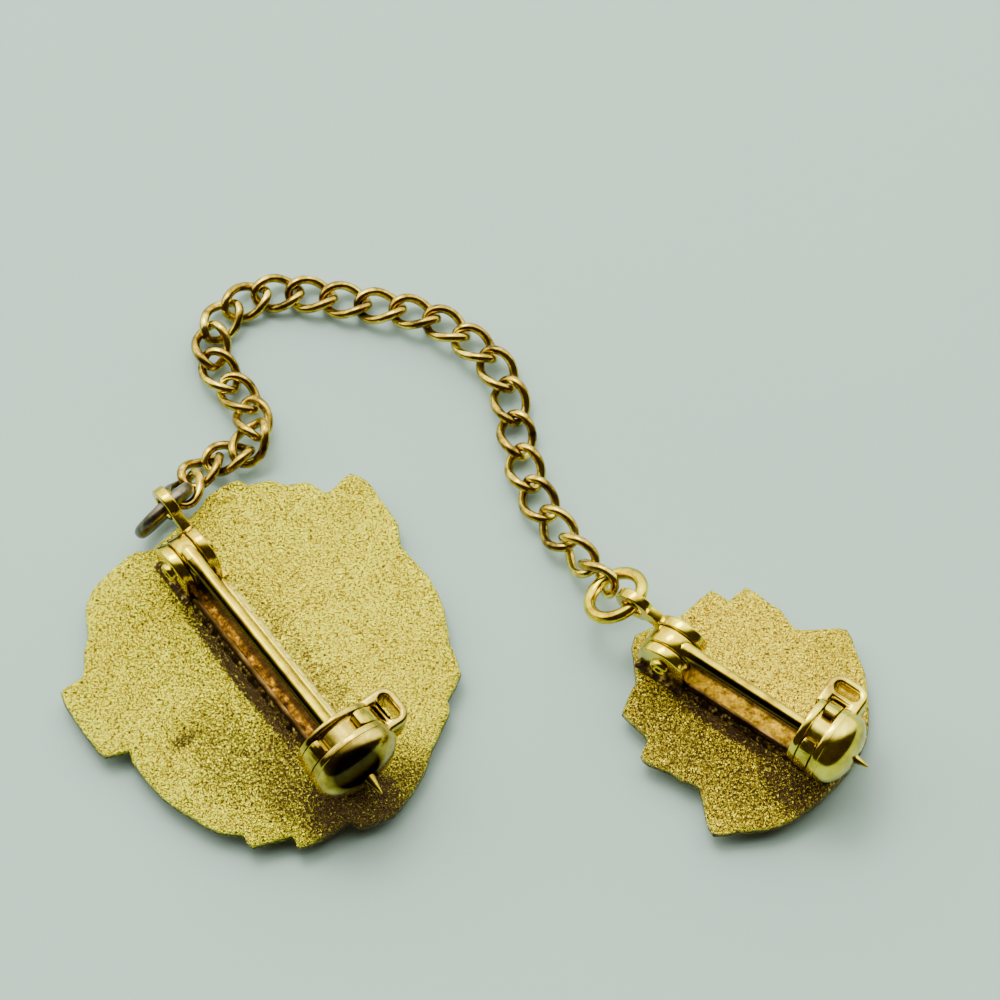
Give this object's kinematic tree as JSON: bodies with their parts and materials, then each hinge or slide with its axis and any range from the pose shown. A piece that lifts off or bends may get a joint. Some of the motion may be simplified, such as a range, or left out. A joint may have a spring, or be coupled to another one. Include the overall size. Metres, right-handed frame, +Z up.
{
  "type": "lapel pin with a chained guard pin, shown lying on its face",
  "caption": "Round lapel badge and a smaller guard badge joined by a fine curb chain, each with a hinged pin stem and a turning safety catch on its back.",
  "frame": {"origin": "middle of the large badge's flat face, on the surface it rests on", "axes": "+X towards the guard badge, +Y towards the loop of the chain, +Z up out of the badges' backs"},
  "size_m": [0.0423, 0.0329, 0.0069],
  "materials": {
    "blasted_gold": "matte",
    "polished_gold": "polished",
    "chain_gold": "polished",
    "gunmetal": "satin"
  },
  "bodies": {
    "badges_and_chain": {"main_badge": "blasted_gold", "main_rivet": "polished_gold", "main_jump_ring": "gunmetal", "guard_badge": "blasted_gold", "guard_rivet": "polished_gold", "guard_jump_ring": "polished_gold", "link_01": "chain_gold", "link_02": "chain_gold", "link_03": "chain_gold", "link_04": "chain_gold", "link_05": "chain_gold", "link_06": "chain_gold", "link_07": "chain_gold", "link_08": "chain_gold", "link_09": "chain_gold", "link_10": "chain_gold", "link_11": "chain_gold", "link_12": "chain_gold", "link_13": "chain_gold", "link_14": "chain_gold", "link_15": "chain_gold", "link_16": "chain_gold", "link_17": "chain_gold", "link_18": "chain_gold", "link_19": "chain_gold", "link_20": "chain_gold", "link_21": "chain_gold", "link_22": "chain_gold", "link_23": "chain_gold", "link_24": "chain_gold", "link_25": "chain_gold"},
    "main_stem": {"main_stem": "polished_gold"},
    "main_lever": {"main_lever": "polished_gold"},
    "guard_stem": {"guard_stem": "polished_gold"},
    "guard_lever": {"guard_lever": "polished_gold"}
  },
  "joints": [
    {"name": "main_stem_hinge", "type": "hinge", "parent": "badges_and_chain", "child": "main_stem", "pos_m": [-0.00392, 0.00473, 0.0033], "axis": [-0.788, -0.6157, 0], "range_deg": [0, 104]},
    {"name": "main_lever_turn", "type": "hinge", "parent": "badges_and_chain", "child": "main_lever", "pos_m": [0.00433, -0.00583, 0.0045], "axis": [0.6157, -0.788, 0], "range_deg": [0, 165]},
    {"name": "guard_stem_hinge", "type": "hinge", "parent": "badges_and_chain", "child": "guard_stem", "pos_m": [0.02138, -0.00025, 0.0033], "axis": [-0.5664, -0.8241, 0], "range_deg": [0, 104]},
    {"name": "guard_lever_turn", "type": "hinge", "parent": "badges_and_chain", "child": "guard_lever", "pos_m": [0.02871, -0.00529, 0.0042], "axis": [0.8241, -0.5664, 0], "range_deg": [0, 165]}
  ]
}
